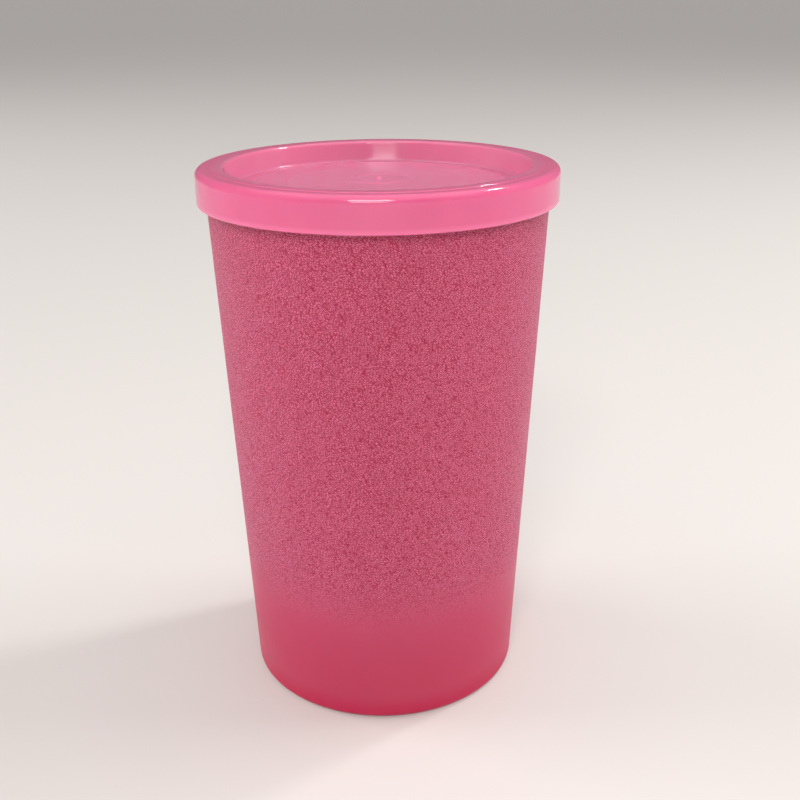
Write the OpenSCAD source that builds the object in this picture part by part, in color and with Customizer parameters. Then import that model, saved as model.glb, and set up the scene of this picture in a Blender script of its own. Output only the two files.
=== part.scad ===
// Tapered drinking tumbler with a press-on seal lid.
// Two injection-moulded pieces, both turned about the Z axis.
// The origin is the middle of the underside, level with the foot ring.

/* [Overall] */
// Outer diameter of the lid, the widest part
lid_d = 82; // [81:0.1:84]
// Height of the closed tumbler
overall_h = 127; // [100:1:180]

/* [Cup] */
// Outer diameter of the wall where the lid's skirt ends
neck_d = 77.6; // [76:0.1:78]
// Outer diameter that the wall's taper reaches at the base
base_d = 66.6; // [50:0.1:74]
// Wall thickness at the mouth
wall_t = 1.5; // [1.2:0.1:2]
// Wall thickness at the base
wall_foot_t = 2; // [1.5:0.1:3]
// Radius of the outer corner at the base
base_corner_r = 1.8; // [0.5:0.1:4]
// Width of the flat ring that the cup stands on
foot_ring_w = 2.2; // [1.2:0.1:5]
// Depth of the hollow inside the foot ring
foot_hollow_h = 1.4; // [1:0.1:3]
// Thickness of the cup's floor
floor_t = 2; // [1.2:0.1:4]
// Radius of the corner between the floor and the wall inside
inner_corner_r = 5; // [1:0.5:10]
// Height of the bead around the mouth
rim_bead_h = 2.4; // [1.5:0.1:4]

/* [Lid] */
// Height of the skirt that hangs over the mouth
skirt_h = 7.9; // [6:0.1:12]
// Thickness of the skirt
skirt_t = 1; // [0.8:0.05:1]
// Radius of the lid's outer top corner
lid_corner_r = 1.6; // [0.8:0.1:1.8]
// Thickness of the lid over the mouth of the cup
lid_top_t = 1.3; // [1.2:0.1:2]
// Diameter at the inner edge of the raised ring
ring_inner_d = 70.6; // [66:0.2:72]
// Diameter of the fine step in the raised ring
ring_step_d = 75.4; // [73:0.2:77]
// Rise of that step towards the inside
ring_step_h = 0.1; // [0.05:0.05:0.4]
// Depth of the recess at its edge
recess_h = 4.8; // [4:0.1:8]
// Slope of the recess wall away from upright, in degrees
recess_draft = 14; // [2:1:20]
// Radius between the recess wall and the panel
recess_corner_r = 0.8; // [0.5:0.1:2]
// Diameter of the raised panel inside the recess
panel_d = 59; // [45:0.5:60]
// Height of the step at the panel's edge
panel_step_h = 0.3; // [0.1:0.05:0.6]
// Rise of the panel from its edge to its middle
panel_crown = 0.8; // [0.2:0.1:1.5]
// Thickness of the panel
panel_t = 1.3; // [1:0.1:2]
// Diameter of the fine ring on the panel
panel_ring_d = 41; // [20:0.5:44]
// Diameter of the small ring around the moulding point
gate_ring_d = 12; // [6:0.5:18]

/* [Fit] */
// Gap all round between the lid and the cup
fit_gap = 0.2; // [0.1:0.05:0.25]
// Height of the land that seals against the inside of the mouth
seal_land_h = 1.6; // [1:0.1:1.8]

/* [Colours] */
// Colour of the cup
cup_colour = "#c9506c"; // ["#c9506c", "#4f86c9", "#5aa469"]
// Colour of the lid
lid_colour = "#e86a91"; // ["#e86a91", "#6fa0dc", "#7cc08a"]

/* [Hidden] */
$fn = 180;
sink = 0.01; // how far a raised detail is sunk into the face that it stands on

// Levels above the base
rim_z = overall_h - lid_top_t;
neck_z = overall_h - skirt_h;
bead_z = rim_z - rim_bead_h;
shoulder_z = overall_h - ring_step_h;
recess_z = overall_h - recess_h;
lid_under_z = recess_z - panel_t;
cup_floor_z = foot_hollow_h + floor_t;

// Outer wall of the cup: a plain cone
wall_slope = (neck_d - base_d) / 2 / (neck_z - base_corner_r);
function outer_r(z) = base_d / 2 + wall_slope * (z - base_corner_r);
function wall_at(z) = wall_foot_t + (wall_t - wall_foot_t) * z / rim_z;
function inner_r(z) = outer_r(z) - wall_at(z);

// Radii that the lid and the mouth of the cup share
mouth_r = inner_r(rim_z);
skirt_inner_r = lid_d / 2 - skirt_t;
bead_r = skirt_inner_r - fit_gap;
land_r = mouth_r - fit_gap;

// Upper face of the lid's panel, crowned towards its middle
panel_r = panel_d / 2;
function panel_z(r) = recess_z + panel_step_h + panel_crown * (1 - pow(r / panel_r, 2));

// Points on an arc about (x, z), from angle a0 to angle a1
function arc(x, z, r, a0, a1, n) =
    [for (i = [0:n]) let (a = a0 + (a1 - a0) * i / n) [x + r * cos(a), z + r * sin(a)]];

// Half of the cup, cut through its axis
module cup_section() {
    rim_round = 0.5;
    foot_round = 0.5;
    foot_outer = base_d / 2 - base_corner_r;
    foot_inner = foot_outer - foot_ring_w;
    hollow_r = foot_inner - foot_hollow_h / 2;
    floor_r = inner_r(cup_floor_z + inner_corner_r) - inner_corner_r;
    polygon(concat(
        [[0, foot_hollow_h], [hollow_r, foot_hollow_h]],
        arc(foot_inner, foot_round, foot_round, 180, 270, 4),
        arc(foot_outer, base_corner_r, base_corner_r, -90, 0, 8),
        [[outer_r(bead_z), bead_z]],
        arc(bead_r - rim_round, bead_z + 2 * rim_round, rim_round, -45, 0, 3),
        arc(bead_r - rim_round, rim_z - rim_round, rim_round, 0, 90, 5),
        arc(mouth_r + rim_round, rim_z - rim_round, rim_round, 90, 180, 5),
        arc(floor_r, cup_floor_z + inner_corner_r, inner_corner_r, 0, -90, 10),
        [[0, cup_floor_z]]
    ));
}

// Half of the lid, cut through its axis
module lid_section() {
    panel_steps = 8;
    edge_round = 0.8;
    channel_round = 0.5;
    lead_in = 55; // angle where the lead-in taper meets the lower corner
    ring_r = ring_inner_d / 2;
    step_r = ring_step_d / 2;
    lip_round = skirt_t / 2;
    // The recess wall runs straight between its two rounded ends
    wall_h = recess_h - edge_round - recess_corner_r;
    corner_r = ring_r - edge_round - recess_corner_r - wall_h * tan(recess_draft);
    plug_r = corner_r + 0.7;
    polygon(concat(
        [for (i = [0:panel_steps]) let (r = panel_r * i / panel_steps) [r, panel_z(r)]],
        [[panel_r + 2 * panel_step_h, recess_z]],
        arc(corner_r, recess_z + recess_corner_r, recess_corner_r, -90, -recess_draft, 6),
        arc(ring_r, overall_h - edge_round, edge_round, 180 - recess_draft, 90, 6),
        [[step_r, overall_h], [step_r + ring_step_h, shoulder_z]],
        arc(lid_d / 2 - lid_corner_r, shoulder_z - lid_corner_r, lid_corner_r, 90, 0, 8),
        arc(lid_d / 2 - lip_round, neck_z + lip_round, lip_round, 0, -180, 10),
        arc(skirt_inner_r - channel_round, rim_z - channel_round, channel_round, 0, 90, 4),
        [[land_r, rim_z], [land_r, rim_z - seal_land_h]],
        arc(plug_r, lid_under_z + recess_corner_r, recess_corner_r, -lead_in, -90, 4),
        [for (i = [panel_steps:-1:0])
            let (r = panel_r * i / panel_steps) [r, panel_z(r) - panel_step_h - panel_t]]
    ));
}

// A low ring standing on the lid's panel
module panel_ring(d, w, h) {
    r = d / 2;
    foot_z = panel_z(r) - panel_t / 2;
    top_z = panel_z(r) + h;
    rotate_extrude()
        polygon([[r - w, foot_z], [r + w, foot_z], [r + w / 2, top_z], [r - w / 2, top_z]]);
}

// Small nib left at the moulding point
module gate_nib(r, h) {
    cylinder(r1 = r, r2 = 0.7 * r, h = h + sink);
}

module tumbler_cup() {
    nib_r = 1.3;
    nib_h = 0.6;
    color(cup_colour) {
        rotate_extrude() cup_section();
        translate([0, 0, foot_hollow_h + sink]) mirror([0, 0, 1]) gate_nib(nib_r, nib_h);
    }
}

module press_on_lid() {
    ring_w = 0.5;
    ring_h = 0.12;
    nib_r = 0.9;
    nib_h = 0.5;
    color(lid_colour) {
        rotate_extrude() lid_section();
        panel_ring(panel_ring_d, ring_w, ring_h);
        panel_ring(gate_ring_d, ring_w, 2 * ring_h);
        translate([0, 0, panel_z(0) - sink]) gate_nib(nib_r, nib_h);
    }
}

tumbler_cup();
press_on_lid();
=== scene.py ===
"""Looks of a lidded drinking tumbler: a tapered, finely grained cup and a press-on lid."""

import math

import bpy
import numpy as np
from mathutils import Euler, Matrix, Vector


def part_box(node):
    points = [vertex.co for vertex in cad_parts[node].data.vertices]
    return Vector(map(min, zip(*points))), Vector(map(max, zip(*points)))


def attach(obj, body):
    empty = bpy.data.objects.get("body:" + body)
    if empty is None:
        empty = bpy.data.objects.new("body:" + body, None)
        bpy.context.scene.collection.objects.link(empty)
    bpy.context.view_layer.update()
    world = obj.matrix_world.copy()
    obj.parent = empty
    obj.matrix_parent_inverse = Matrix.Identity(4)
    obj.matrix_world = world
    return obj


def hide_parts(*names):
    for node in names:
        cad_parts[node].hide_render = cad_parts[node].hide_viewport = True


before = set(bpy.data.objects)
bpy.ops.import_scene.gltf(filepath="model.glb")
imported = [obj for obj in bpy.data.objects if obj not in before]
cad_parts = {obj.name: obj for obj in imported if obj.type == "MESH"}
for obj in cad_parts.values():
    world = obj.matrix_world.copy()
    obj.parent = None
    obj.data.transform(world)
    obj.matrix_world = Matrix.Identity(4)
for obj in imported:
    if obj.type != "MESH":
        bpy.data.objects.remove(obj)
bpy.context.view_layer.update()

MM = 0.001
CUP_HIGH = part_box("tumbler_cup")[1]
LID_LOW, LID_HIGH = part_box("press_on_lid")

# Heights and radii that the frame gives
LID_R = LID_HIGH.x
BEAD_R = CUP_HIGH.x
RIM_Z = CUP_HIGH.z
NECK_Z = LID_LOW.z
TOP_Z = LID_HIGH.z

# The cup's wall and foot
WALL_T, WALL_FOOT_T = 1.5 * MM, 2.0 * MM
BASE_R, BASE_CORNER_R = 33.3 * MM, 1.8 * MM
NECK_R = 38.8 * MM
TAPER = (NECK_R - BASE_R) / (NECK_Z - BASE_CORNER_R)
FOOT_RING_W, FOOT_HOLLOW_H = 2.2 * MM, 1.4 * MM
FLOOR_Z, INNER_CORNER_R = 3.4 * MM, 5.0 * MM
BEAD_H, RIM_ROUND = 2.4 * MM, 0.5 * MM
CUP_NIB_R, CUP_NIB_H = 1.3 * MM, 0.6 * MM

# The lid's skirt, top ring, recess and panel
SKIRT_T, LID_CORNER_R, LID_TOP_T = 1.0 * MM, 1.6 * MM, 1.3 * MM
RING_STEP_R, RING_STEP_H, RING_IN_R = 37.7 * MM, 0.1 * MM, 35.3 * MM
RING_ROUND = 0.8 * MM
RECESS_H, RECESS_DRAFT, RECESS_CORNER_R = 4.8 * MM, math.radians(14), 0.8 * MM
PANEL_R, PANEL_STEP_H, PANEL_CROWN, PANEL_T = 29.5 * MM, 0.3 * MM, 0.8 * MM, 1.3 * MM
PANEL_RING_R, PANEL_RING_H, PANEL_RING_W = 20.5 * MM, 0.14 * MM, 1.4 * MM
GATE_RING_R, GATE_RING_H, GATE_RING_W = 6.0 * MM, 0.26 * MM, 2.0 * MM
LID_NIB_R, LID_NIB_H = 0.9 * MM, 0.4 * MM
FIT_GAP, SEAL_LAND_H = 0.2 * MM, 1.6 * MM

# Colours. A pair is blended from its first to its second: for the grain, crease to crest, that is
# painted shade to painted highlight.
CUP_WALL_TONES = (0.55, 0.082, 0.172), (0.62, 0.098, 0.202)
CUP_LOWER_COLOUR = (0.54, 0.048, 0.114)
CUP_FOOT_COLOUR = (0.54, 0.019, 0.082)
# Grain tones: painted shade in the creases and painted highlight on the crests.
GRAIN_SHADE_AND_HIGHLIGHT_TONES = (0.44, 0.009, 0.059), (0.88, 0.225, 0.385)
LID_TONES = (0.68, 0.118, 0.262), (0.74, 0.136, 0.292)
LID_INSIDE_COLOUR = (0.67, 0.176, 0.306)
# Painted glow: the skirt's lower lip lit as if light gathered in its thin edge.
LID_LIP_GLOW_COLOUR = (0.81, 0.178, 0.345)
FLOOR_COLOUR = (0.62, 0.585, 0.56)

# Heights between which the cup's grain fades in, and its deeper tones fade out
GRAIN_FADE = 22 * MM, 42 * MM
LOWER_FADE = 8 * MM, 50 * MM
FOOT_FADE = 1.5 * MM, 7 * MM

# The grain: cells per metre, depth, lean in radians per metre of height, waviness, and
# how far its painted shade and highlight tones replace those of the wall
GRAIN_SCALE, GRAIN_DEPTH = 2150.0, 0.18 * MM
GRAIN_LEAN, GRAIN_WAVE = 16.0, 0.7 * MM
GRAIN_SHARE = 0.9

# The camera: its lens and sensor in mm, its place, and its angles in radians
LENS, SENSOR = 47.25, 36
CAMERA_BACK, CAMERA_UP = 5.86 * LID_R, 3.992 * LID_R
CAMERA_TILT, CAMERA_YAW, CAMERA_ROLL = 0.3746, -0.0189, -0.0080


# ---------------------------------------------------------------- outlines and lathe


def rounded(before, corner, after, turn=math.radians(11)):
    """Points of the arc that rounds one corner of an outline."""
    here, radius = np.array(corner[:2]), corner[2]
    back, ahead = np.array(before[:2]) - here, np.array(after[:2]) - here
    back_run, ahead_run = np.linalg.norm(back), np.linalg.norm(ahead)
    back, ahead = back / back_run, ahead / ahead_run
    half = math.acos(max(-1.0, min(1.0, float(back @ ahead)))) / 2
    if radius <= 0 or half > math.radians(89):
        return [here]
    reach = min(radius / math.tan(half), 0.49 * back_run, 0.49 * ahead_run)
    radius = reach * math.tan(half)
    centre = here + (back + ahead) / np.linalg.norm(back + ahead) * radius / math.sin(half)
    first, last = here + back * reach - centre, here + ahead * reach - centre
    start = math.atan2(first[1], first[0])
    sweep = (math.atan2(last[1], last[0]) - start + math.pi) % (2 * math.pi) - math.pi
    count = max(2, math.ceil(abs(sweep) / turn))
    angles = [start + sweep * i / count for i in range(count + 1)]
    return [centre + radius * np.array([math.cos(a), math.sin(a)]) for a in angles]


def fillet(corners):
    """Rounds an outline. A corner is (radius from the axis, height, rounding)."""
    points = [np.array(corners[0][:2])]
    for before, corner, after in zip(corners, corners[1:], corners[2:]):
        points += rounded(before, corner, after)
    return points + [np.array(corners[-1][:2])]


def spaced(points, step, guard=0.15 * MM):
    """Divides the straight runs, with a point close to each end so that shading stays flat."""
    out = [points[0]]
    for a, b in zip(points, points[1:]):
        run = np.linalg.norm(b - a)
        if run < 1e-7:
            continue
        count = max(1, round(run / step))
        cuts = [i / count for i in range(1, count)]
        if run > 4 * guard:
            cuts = sorted(cuts + [guard / run, 1 - guard / run])
        out += [a + (b - a) * cut for cut in cuts] + [b]
    return out


def lathe(name, outline, segments):
    """Turns an outline about the Z axis. Its first and last points lie on the axis."""
    rings = np.array(outline[1:-1])
    angles = np.arange(segments) * 2 * math.pi / segments
    circle = np.stack([np.cos(angles), np.sin(angles)], 1)
    verts = np.zeros((len(rings), segments, 3))
    verts[:, :, :2] = rings[:, None, :1] * circle[None]
    verts[:, :, 2] = rings[:, None, 1]
    poles = np.array([[0, 0, outline[0][1]], [0, 0, outline[-1][1]]])
    index = np.arange(len(rings) * segments).reshape(len(rings), segments)
    turned = np.roll(index, -1, 1)
    quads = np.stack([index[:-1], turned[:-1], turned[1:], index[1:]], 2).reshape(-1, 4)
    first_pole, last_pole = index.size, index.size + 1
    faces = quads.tolist()
    faces += [[first_pole, b, a] for a, b in zip(index[0].tolist(), turned[0].tolist())]
    faces += [[last_pole, a, b] for a, b in zip(index[-1].tolist(), turned[-1].tolist())]
    mesh = bpy.data.meshes.new(name)
    mesh.from_pydata(np.concatenate([verts.reshape(-1, 3), poles]).tolist(), [], faces)
    mesh.shade_smooth()
    piece = bpy.data.objects.new(name, mesh)
    bpy.context.scene.collection.objects.link(piece)
    return piece


# ---------------------------------------------------------------- the cup


def wall_r(z):
    """Outer radius of the cup's wall at a height."""
    return BASE_R + TAPER * (z - BASE_CORNER_R)


def bore_r(z):
    """Inner radius of the cup's wall at a height."""
    return wall_r(z) - WALL_FOOT_T + (WALL_FOOT_T - WALL_T) * z / RIM_Z


def cup_outline():
    """Half of the cup, cut through its axis, from its underside round to its floor."""
    foot_in = BASE_R - BASE_CORNER_R - FOOT_RING_W
    bead_z = RIM_Z - BEAD_H
    nib_z = FOOT_HOLLOW_H - CUP_NIB_H
    corners = [
        (0, nib_z, 0),
        (0.7 * CUP_NIB_R, nib_z, 0.2 * MM),
        (CUP_NIB_R, FOOT_HOLLOW_H, 0.2 * MM),
        (foot_in - FOOT_HOLLOW_H / 2, FOOT_HOLLOW_H, 0.5 * MM),
        (foot_in, 0, 0.5 * MM),
        (wall_r(0), 0, BASE_CORNER_R),
        (wall_r(bead_z), bead_z, 0.3 * MM),
        (BEAD_R, bead_z + 0.6 * MM, RIM_ROUND),
        (BEAD_R, RIM_Z, RIM_ROUND),
        (bore_r(RIM_Z), RIM_Z, RIM_ROUND),
        (bore_r(FLOOR_Z), FLOOR_Z, INNER_CORNER_R),
        (0, FLOOR_Z, 0),
    ]
    return spaced(fillet(corners), step=4.0 * MM)


# ---------------------------------------------------------------- the lid


def crown_z(r):
    """Height of the panel's plain crown at a radius."""
    edge = TOP_Z - RECESS_H + PANEL_STEP_H
    return edge + PANEL_CROWN * (1 - (r / PANEL_R) ** 2)


def soft_ring(r, ring_r, height, width):
    """Rise of a low, softly rounded ring at a radius."""
    away = min(1.0, abs(r - ring_r) / (width / 2))
    return height * (1 + math.cos(math.pi * away)) / 2


def panel_z(r):
    """Height of the panel's upper face at a radius, with its two low rings."""
    outer = soft_ring(r, PANEL_RING_R, PANEL_RING_H, PANEL_RING_W)
    gate = soft_ring(r, GATE_RING_R, GATE_RING_H, GATE_RING_W)
    return crown_z(r) + outer + gate


def panel_run(r_from, r_to, step, height_at, drop=0.0):
    """Corners without rounding along the panel, between two radii."""
    count = math.ceil(abs(r_to - r_from) / step)
    radii = [r_from + (r_to - r_from) * i / count for i in range(count + 1)]
    return [(r, height_at(r) - drop, 0) for r in radii]


def lid_outline():
    """Half of the lid, cut through its axis, from its underside round to its panel."""
    shoulder_z, recess_z = TOP_Z - RING_STEP_H, TOP_Z - RECESS_H
    ceiling_z, under_z = TOP_Z - LID_TOP_T, TOP_Z - RECESS_H - PANEL_T
    skirt_in = LID_R - SKIRT_T
    land_r = bore_r(RIM_Z) - FIT_GAP
    wall_top_r = RING_IN_R - RING_ROUND * math.tan((math.pi / 2 - RECESS_DRAFT) / 2)
    wall_foot_r = wall_top_r - RECESS_H * math.tan(RECESS_DRAFT)
    coarse, fine = 4.0 * MM, 0.4 * MM
    corners = panel_run(0, PANEL_R, coarse, crown_z, PANEL_STEP_H + PANEL_T)
    corners += [
        (wall_foot_r, under_z, RECESS_CORNER_R),
        (land_r, ceiling_z - SEAL_LAND_H, 0.4 * MM),
        (land_r, ceiling_z, 0.15 * MM),
        (skirt_in, ceiling_z, RIM_ROUND),
        (skirt_in, NECK_Z, SKIRT_T / 2),
        (LID_R, NECK_Z, SKIRT_T / 2),
        (LID_R, shoulder_z, LID_CORNER_R),
        (RING_STEP_R + RING_STEP_H, shoulder_z, 0.1 * MM),
        (RING_STEP_R, TOP_Z, 0.1 * MM),
        (wall_top_r, TOP_Z, RING_ROUND),
        (wall_foot_r, recess_z, RECESS_CORNER_R),
        (PANEL_R + PANEL_STEP_H, recess_z, 0.12 * MM),
        (PANEL_R, panel_z(PANEL_R), 0.12 * MM),
    ]
    corners += panel_run(PANEL_R - 1 * MM, LID_NIB_R + 1 * MM, fine, panel_z)
    corners += [
        (LID_NIB_R, panel_z(LID_NIB_R), 0.15 * MM),
        (0.7 * LID_NIB_R, panel_z(0) + LID_NIB_H, 0.2 * MM),
        (0, panel_z(0) + LID_NIB_H, 0),
    ]
    return spaced(fillet(corners), step=1.5 * MM)


# ---------------------------------------------------------------- materials


def material(name):
    """A new node material, with its tree and its Principled shader."""
    look = bpy.data.materials.new(name)
    look.use_nodes = True
    return look, look.node_tree, look.node_tree.nodes["Principled BSDF"]


def add(tree, kind, **settings):
    """Adds a node. A key that names an input sets its value, and any other a property."""
    node = tree.nodes.new("ShaderNode" + kind)
    for key, value in settings.items():
        label = key.replace("_", " ")
        if label in node.inputs:
            node.inputs[label].default_value = value
        else:
            setattr(node, key, value)
    return node


def span(tree, source, low, high, to_low=0.0, to_high=1.0):
    """Maps a value smoothly from one range to another."""
    node = add(tree, "MapRange", interpolation_type="SMOOTHSTEP", From_Min=low,
               From_Max=high, To_Min=to_low, To_Max=to_high)
    tree.links.new(source, node.inputs["Value"])
    return node.outputs["Result"]


def blend_colours(tree, factor, first, second):
    """A colour between two, by a factor. Each may be a colour or an output."""
    node = add(tree, "Mix", data_type="RGBA")
    tree.links.new(factor, node.inputs["Factor"])
    colour_inputs = [socket for socket in node.inputs if socket.type == "RGBA"]
    for socket, colour in zip(colour_inputs, (first, second)):
        if isinstance(colour, tuple):
            socket.default_value = (*colour, 1)
        else:
            tree.links.new(colour, socket)
    return next(socket for socket in node.outputs if socket.type == "RGBA")


def times(tree, first, second):
    """The product of two values."""
    node = add(tree, "Math", operation="MULTIPLY")
    tree.links.new(first, node.inputs[0])
    tree.links.new(second, node.inputs[1])
    return node.outputs["Value"]


def radius_and_height(tree, place):
    """Distance from the axis, and height in the piece's own coordinates."""
    flat = add(tree, "VectorMath", operation="MULTIPLY")
    flat.inputs[1].default_value = (1, 1, 0)
    tree.links.new(place, flat.inputs[0])
    reach = add(tree, "VectorMath", operation="LENGTH")
    tree.links.new(flat.outputs["Vector"], reach.inputs[0])
    split = add(tree, "SeparateXYZ")
    tree.links.new(place, split.inputs["Vector"])
    return reach.outputs["Value"], split.outputs["Z"]


def plastic_body(shader, specular, depth, clearness):
    """The values that are the same all over a translucent plastic."""
    shader.inputs["IOR"].default_value = 1.49
    shader.inputs["Specular IOR Level"].default_value = specular
    shader.inputs["Subsurface Weight"].default_value = 0.8
    shader.inputs["Subsurface Radius"].default_value = (1.0, 0.35, 0.5)
    shader.inputs["Subsurface Scale"].default_value = depth
    shader.inputs["Transmission Weight"].default_value = clearness


def grain_coordinates(tree, place, height):
    """Object coordinates sheared round the axis, so that cells lean without a seam."""
    lean = add(tree, "Math", operation="MULTIPLY")
    lean.inputs[1].default_value = GRAIN_LEAN
    tree.links.new(height, lean.inputs[0])
    turned = add(tree, "VectorRotate", rotation_type="Z_AXIS")
    tree.links.new(place, turned.inputs["Vector"])
    tree.links.new(lean.outputs["Value"], turned.inputs["Angle"])
    drift = add(tree, "TexNoise", Scale=420.0, Detail=1.0)
    tree.links.new(turned.outputs["Vector"], drift.inputs["Vector"])
    bent = add(tree, "VectorMath", operation="MULTIPLY_ADD")
    bent.inputs[1].default_value = (GRAIN_WAVE, GRAIN_WAVE, GRAIN_WAVE)
    tree.links.new(drift.outputs["Color"], bent.inputs[0])
    tree.links.new(turned.outputs["Vector"], bent.inputs[2])
    return bent.outputs["Vector"]


def grained_area(tree, radius, height):
    """1 where the cup is grained: outside, below the lid, and fading out towards the foot."""
    untapered = add(tree, "Math", operation="MULTIPLY_ADD")
    untapered.inputs[1].default_value = -TAPER
    tree.links.new(height, untapered.inputs[0])
    tree.links.new(radius, untapered.inputs[2])
    inner_side, outer_side = BASE_R - 1.2 * MM, BASE_R - 0.7 * MM
    outside = span(tree, untapered.outputs["Value"], inner_side, outer_side)
    above_foot = span(tree, height, *GRAIN_FADE)
    below_lid = span(tree, height, NECK_Z, NECK_Z + 0.6 * MM, 1.0, 0.0)
    return times(tree, times(tree, outside, above_foot), below_lid)


def cup_plastic():
    """Satin pink plastic: grained above, with painted shade in the grain's creases and painted
    highlight on its crests, smooth and deeper in colour at the thick foot.
    """
    look, tree, shader = material("cup_plastic")
    place = add(tree, "TexCoord").outputs["Object"]
    radius, height = radius_and_height(tree, place)

    cells = add(tree, "TexVoronoi", feature="DISTANCE_TO_EDGE", Scale=GRAIN_SCALE)
    tree.links.new(grain_coordinates(tree, place, height), cells.inputs["Vector"])
    crest = span(tree, cells.outputs["Distance"], 0.0, 0.26)
    grained = grained_area(tree, radius, height)
    bump = add(tree, "Bump", Strength=1.0, Distance=GRAIN_DEPTH)
    tree.links.new(times(tree, crest, grained), bump.inputs["Height"])
    tree.links.new(bump.outputs["Normal"], shader.inputs["Normal"])

    cloud = add(tree, "TexNoise", Scale=45.0, Detail=2.0)
    tree.links.new(place, cloud.inputs["Vector"])
    wall = blend_colours(tree, cloud.outputs["Fac"], *CUP_WALL_TONES)
    low = span(tree, height, *LOWER_FADE, 1.0, 0.0)
    lower = blend_colours(tree, low, wall, CUP_LOWER_COLOUR)
    foot = span(tree, height, *FOOT_FADE, 1.0, 0.0)
    smooth = blend_colours(tree, foot, lower, CUP_FOOT_COLOUR)
    # Painted shade in the grain's creases and painted highlight on its crests.
    pebbled_shade_and_highlight = blend_colours(tree, crest, *GRAIN_SHADE_AND_HIGHLIGHT_TONES)
    part = add(tree, "Math", operation="MULTIPLY")
    part.inputs[1].default_value = GRAIN_SHARE
    tree.links.new(grained, part.inputs[0])
    colour = blend_colours(tree, part.outputs["Value"], smooth, pebbled_shade_and_highlight)
    tree.links.new(colour, shader.inputs["Base Color"])

    gloss = span(tree, cloud.outputs["Fac"], 0.3, 0.7, 0.38, 0.46)
    tree.links.new(gloss, shader.inputs["Roughness"])
    plastic_body(shader, specular=0.18, depth=2.2 * MM, clearness=0.25)
    return look


def lid_plastic():
    """Glossier, paler pink plastic: a satin panel with fine rings, and a painted glow along the thin
    lip.
    """
    look, tree, shader = material("lid_plastic")
    place = add(tree, "TexCoord").outputs["Object"]
    radius, height = radius_and_height(tree, place)
    swell = add(tree, "TexNoise", Scale=120.0, Detail=1.0)
    tree.links.new(place, swell.inputs["Vector"])
    on_panel = span(tree, radius, PANEL_R, PANEL_R + 2 * MM, 1.0, 0.0)
    rings = add(tree, "TexNoise", noise_dimensions="1D", Scale=320.0, Detail=0.0)
    tree.links.new(radius, rings.inputs["W"])
    off_panel = span(tree, radius, PANEL_R, PANEL_R + 2 * MM)
    swell_bump = add(tree, "Bump", Strength=0.1, Distance=0.08 * MM)
    tree.links.new(times(tree, swell.outputs["Fac"], off_panel), swell_bump.inputs["Height"])
    ring_bump = add(tree, "Bump", Strength=0.3, Distance=0.012 * MM)
    tree.links.new(times(tree, rings.outputs["Fac"], on_panel), ring_bump.inputs["Height"])
    tree.links.new(swell_bump.outputs["Normal"], ring_bump.inputs["Normal"])
    tree.links.new(ring_bump.outputs["Normal"], shader.inputs["Normal"])

    ground = blend_colours(tree, swell.outputs["Fac"], *LID_TONES)
    inside = span(tree, radius, RING_IN_R - 1 * MM, RING_STEP_R, 1.0, 0.0)
    thin = blend_colours(tree, inside, ground, LID_INSIDE_COLOUR)
    # Painted glow along the skirt's lower lip.
    lip_glow_mask = span(tree, height, NECK_Z + 0.3 * MM, NECK_Z + 1.6 * MM, 1.0, 0.0)
    colour = blend_colours(tree, lip_glow_mask, thin, LID_LIP_GLOW_COLOUR)
    tree.links.new(colour, shader.inputs["Base Color"])

    shine = span(tree, swell.outputs["Fac"], 0.3, 0.7, 0.06, 0.12)
    satin = add(tree, "Math", operation="MULTIPLY_ADD")
    satin.inputs[1].default_value = 0.23
    tree.links.new(on_panel, satin.inputs[0])
    tree.links.new(shine, satin.inputs[2])
    tree.links.new(satin.outputs["Value"], shader.inputs["Roughness"])
    plastic_body(shader, specular=0.55, depth=1.5 * MM, clearness=0.15)
    return look


# ---------------------------------------------------------------- camera, floor and light


def make_camera():
    """A camera held close, looking down on the lid."""
    data = bpy.data.cameras.new("camera")
    data.sensor_width = SENSOR
    data.lens = LENS
    data.clip_start = 0.01
    camera = bpy.data.objects.new("camera", data)
    camera.location = (0, -CAMERA_BACK, CAMERA_UP)
    turn = Euler((0, 0, CAMERA_YAW)).to_matrix()
    down = Euler((math.pi / 2 - CAMERA_TILT, 0, 0)).to_matrix()
    roll = Euler((0, 0, CAMERA_ROLL)).to_matrix()
    camera.rotation_euler = (turn @ down @ roll).to_euler()
    bpy.context.scene.collection.objects.link(camera)
    bpy.context.scene.camera = camera


def make_floor(half=30.0):
    """A plain pale floor."""
    mesh = bpy.data.meshes.new("floor")
    corners = [(-half, -half, 0), (half, -half, 0), (half, half, 0), (-half, half, 0)]
    mesh.from_pydata(corners, [], [(0, 1, 2, 3)])
    floor = bpy.data.objects.new("floor", mesh)
    bpy.context.scene.collection.objects.link(floor)
    look, _, shader = material("floor_pale")
    shader.inputs["Base Color"].default_value = (*FLOOR_COLOUR, 1)
    shader.inputs["Roughness"].default_value = 0.6
    mesh.materials.append(look)


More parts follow.
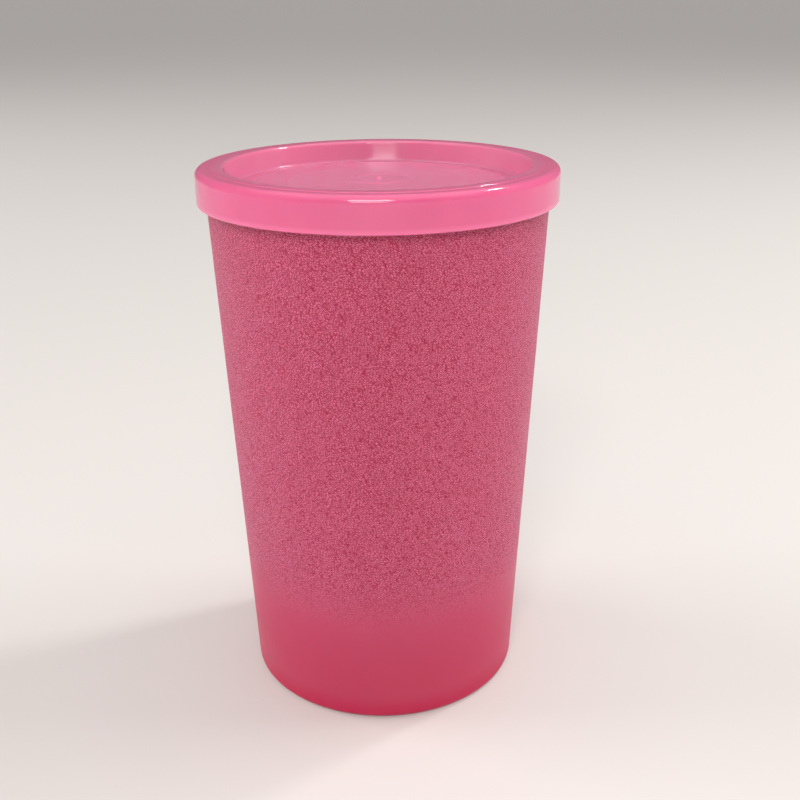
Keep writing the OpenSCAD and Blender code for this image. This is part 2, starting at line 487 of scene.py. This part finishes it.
def make_world(lit, walls, ceiling):
    """Even pale light, which reflections see as a dim room with a pale ceiling."""
    world = bpy.data.worlds.new("studio")
    world.use_nodes = True
    tree = world.node_tree
    direction = add(tree, "SeparateXYZ")
    tree.links.new(add(tree, "TexCoord").outputs["Generated"], direction.inputs["Vector"])
    from_rise, to_rise = math.sin(math.radians(35)), math.sin(math.radians(65))
    overhead = span(tree, direction.outputs["Z"], from_rise, to_rise)
    room = blend_colours(tree, overhead, walls, ceiling)
    ray = add(tree, "LightPath")
    shade = blend_colours(tree, ray.outputs["Is Glossy Ray"], lit, room)
    tree.links.new(shade, tree.nodes["Background"].inputs["Color"])
    bpy.context.scene.world = world


def soft_light(name, azimuth, elevation, distance, width, height, watts, mirrored=True):
    """A soft box facing the tumbler. Azimuth 0 is the front, and 90 is the +X side."""
    data = bpy.data.lights.new(name, "AREA")
    data.shape = "RECTANGLE"
    data.size, data.size_y = width, height
    data.energy = watts
    light = bpy.data.objects.new(name, data)
    turn, rise = math.radians(azimuth), math.radians(elevation)
    away = Vector((math.sin(turn) * math.cos(rise), -math.cos(turn) * math.cos(rise), math.sin(rise)))
    light.location = Vector((0, 0, TOP_Z / 2)) + away * distance
    light.rotation_euler = away.to_track_quat("Z", "Y").to_euler()
    light.visible_glossy = mirrored
    bpy.context.scene.collection.objects.link(light)


def show(piece, look, body, node):
    """Gives a piece its material and sets it on its body in place of a CAD node."""
    piece.data.materials.append(look)
    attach(piece, body)
    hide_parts(node)


make_camera()
make_floor()
make_world(lit=(0.60, 0.59, 0.585), walls=(0.17, 0.17, 0.17), ceiling=(1.5, 1.5, 1.5))
# Azimuth and elevation in degrees, then distance, width and height in metres, then watts
soft_light("window", -5, 40, 1.1, 0.42, 0.18, 5.4)
soft_light("window_low", -6, 19, 1.1, 0.35, 0.14, 2.4)
soft_light("ceiling_lamp", 118, 52, 1.0, 0.09, 0.09, 2.4)
soft_light("side_left", -100, 22, 1.8, 1.00, 0.90, 17, mirrored=False)
soft_light("side_right", 100, 22, 1.8, 1.00, 0.90, 18, mirrored=False)
bpy.context.scene.view_settings.view_transform = "Standard"

cup = lathe("tumbler_cup_body", cup_outline(), 512)
show(cup, cup_plastic(), "cup", "tumbler_cup")
lid = lathe("press_on_lid_body", lid_outline(), 352)
show(lid, lid_plastic(), "lid", "press_on_lid")
